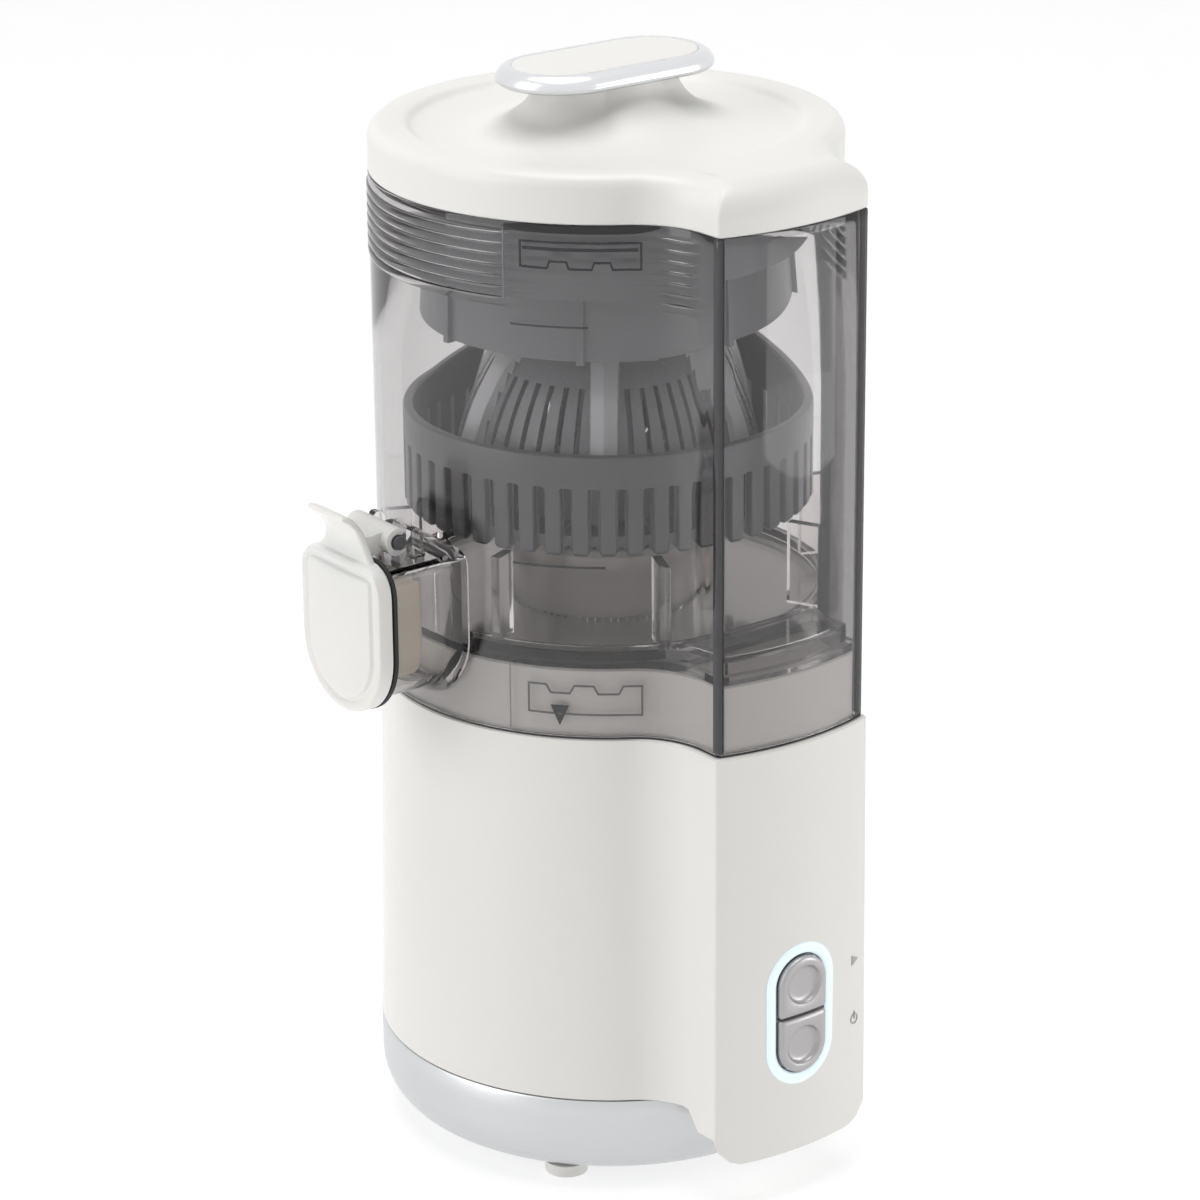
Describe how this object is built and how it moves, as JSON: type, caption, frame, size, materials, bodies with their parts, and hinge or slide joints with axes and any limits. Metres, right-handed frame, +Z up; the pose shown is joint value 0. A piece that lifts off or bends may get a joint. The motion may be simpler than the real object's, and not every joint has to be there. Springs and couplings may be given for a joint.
{
  "type": "automatic citrus juicer",
  "caption": "Automatic citrus juicer with a smoked clear jug, ribbed reamer and strainer inside, a flap spout, a lift-off lid with an oval knob, and a lit two-button panel.",
  "frame": {"origin": "on the table under the reamer's axis, midway between the four feet", "axes": "+Z up, -Y towards the control column, -X towards the spout"},
  "size_m": [0.1802, 0.1679, 0.33],
  "materials": {
    "satin_silver": "satin metallic",
    "white_gloss": "gloss",
    "dark_rubber": "matte",
    "smoke_grey": "satin, tinted",
    "spring_steel": "bright",
    "grey_plastic": "satin",
    "smoke_clear": "clear, smoke tinted",
    "pale_grey": "satin",
    "frost_white": "satin",
    "cream": "satin",
    "glow_ring": "lit diffuser",
    "board_green": "satin",
    "dark_plastic": "satin",
    "white_rubber": "matte",
    "ivory_gear": "satin",
    "bronze": "satin",
    "motor_steel": "satin"
  },
  "bodies": {
    "base": {"housing_shell": "white_gloss", "jug_platform": "white_gloss", "shaft_turret": "white_gloss", "light_ring": "glow_ring", "control_board": "board_green", "base_tray": "satin_silver", "bottom_plate": "dark_plastic", "rubber_feet": "white_rubber", "gear_plate": "dark_plastic", "motor": "motor_steel", "motor_screws": "spring_steel", "plate_screws": "spring_steel", "base_screws": "spring_steel", "cord_gland": "dark_rubber", "shaft_bush": "bronze", "shaft_seal": "dark_rubber", "idler_pin": "spring_steel"},
    "start_key": {"start_button": "satin_silver"},
    "power_key": {"power_button": "satin_silver"},
    "spindle": {"drive_shaft": "spring_steel", "output_gear": "ivory_gear"},
    "idler": {"idler_gear": "ivory_gear"},
    "rotor": {"motor_pinion": "spring_steel"},
    "jug": {"jug_shell": "smoke_clear", "jug_spout": "smoke_clear", "jug_bearers": "smoke_clear", "grip_band": "smoke_clear", "jug_floor": "smoke_clear", "jug_hub": "smoke_clear", "hub_collar": "smoke_clear", "floor_seal": "dark_rubber", "hinge_pin": "spring_steel"},
    "basket": {"strainer_basket": "grey_plastic"},
    "squeezer": {"reamer": "pale_grey", "drive_socket": "pale_grey"},
    "flap": {"spout_flap": "frost_white", "flap_seal": "dark_rubber", "flap_plug": "cream"},
    "lid": {"lid_shell": "white_gloss", "lid_neck": "white_gloss", "lid_seal": "dark_rubber", "guide_ring": "smoke_grey", "knob_ring": "satin_silver", "knob_cap": "white_gloss", "press_spring": "spring_steel"},
    "presser": {"presser_cup": "grey_plastic", "presser_plate": "grey_plastic"}
  },
  "joints": [
    {"name": "jug_lift", "type": "slide", "parent": "base", "child": "jug", "axis": [0, 0, 1], "range_m": [0, 0.045]},
    {"name": "lid_lift", "type": "slide", "parent": "jug", "child": "lid", "axis": [0, 0, 1], "range_m": [0, 0.06]},
    {"name": "basket_lift", "type": "slide", "parent": "jug", "child": "basket", "axis": [0, 0, 1], "range_m": [0, 0.007]},
    {"name": "presser_rise", "type": "slide", "parent": "lid", "child": "presser", "axis": [0, 0, 1], "range_m": [0, 0.02], "stiffness_N_per_m": 150, "springref_m": -0.01, "deforming": ["press_spring"]},
    {"name": "flap_swing", "type": "hinge", "parent": "jug", "child": "flap", "pos_m": [-0.084, 0, 0.2023], "axis": [0, 1, 0], "range_deg": [0, 85]},
    {"name": "start_press", "type": "slide", "parent": "base", "child": "start_key", "axis": [0, 1, 0], "range_m": [0, 0.0015], "stiffness_N_per_m": 600, "springref_m": -0.0005},
    {"name": "power_press", "type": "slide", "parent": "base", "child": "power_key", "axis": [0, 1, 0], "range_m": [0, 0.0015], "stiffness_N_per_m": 600, "springref_m": -0.0005},
    {"name": "spindle_spin", "type": "hinge", "parent": "base", "child": "spindle", "pos_m": [0, 0, 0.12], "axis": [0, 0, 1], "continuous": true},
    {"name": "idler_spin", "type": "hinge", "parent": "base", "child": "idler", "pos_m": [0.015, 0.02598, 0.105], "axis": [0, 0, 1], "continuous": true},
    {"name": "motor_spin", "type": "hinge", "parent": "base", "child": "rotor", "pos_m": [-0.015, 0.02598, 0.08], "axis": [0, 0, 1], "continuous": true},
    {"name": "reamer_spin", "type": "hinge", "parent": "basket", "child": "squeezer", "pos_m": [0, 0, 0.2], "axis": [0, 0, 1], "continuous": true}
  ],
  "couplings": [
    {"joint": "idler_spin", "follows": "spindle_spin", "ratio": -4},
    {"joint": "motor_spin", "follows": "spindle_spin", "ratio": 16},
    {"joint": "reamer_spin", "follows": "spindle_spin", "ratio": 1}
  ]
}
